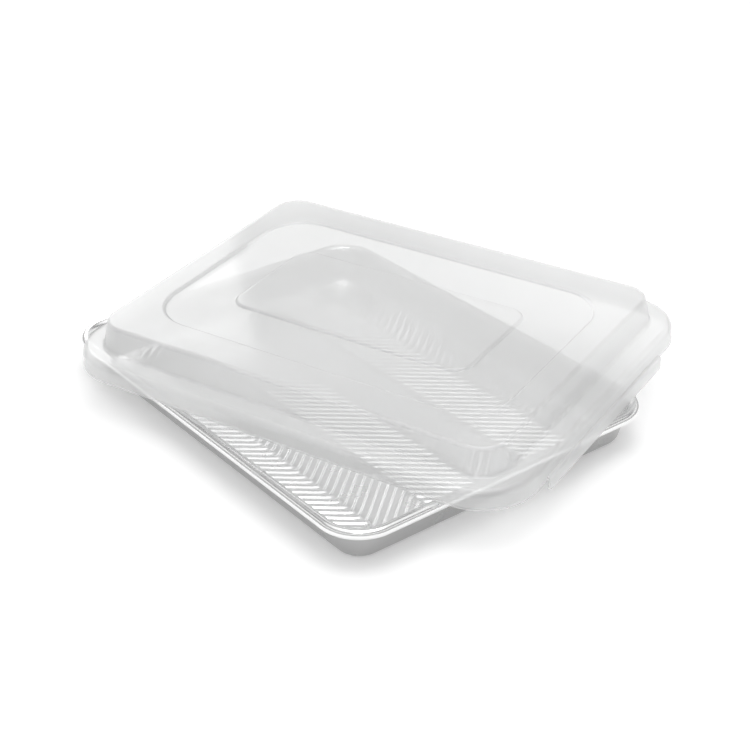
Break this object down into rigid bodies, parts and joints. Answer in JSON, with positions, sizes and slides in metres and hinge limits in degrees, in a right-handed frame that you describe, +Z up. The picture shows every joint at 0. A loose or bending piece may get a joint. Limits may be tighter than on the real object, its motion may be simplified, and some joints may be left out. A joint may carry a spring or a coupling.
{
  "type": "cake pan with lid",
  "caption": "Shallow rectangular cake pan with a rolled rim and a herringbone floor, and a stepped clear lid with end lips that lies askew on the rim.",
  "frame": {"origin": "middle of the pan's flat underside, which stands on the surface", "axes": "+X along the long side of the pan, +Y across it, +Z up; the lid overhangs most towards +Y"},
  "size_m": [0.3872, 0.3387, 0.0722],
  "materials": {
    "pan_sheet": "satin, bare drawn sheet",
    "lid_plastic": "translucent, moulded"
  },
  "bodies": {
    "root": {"pan": "pan_sheet", "lid": "lid_plastic"}
  },
  "joints": []
}
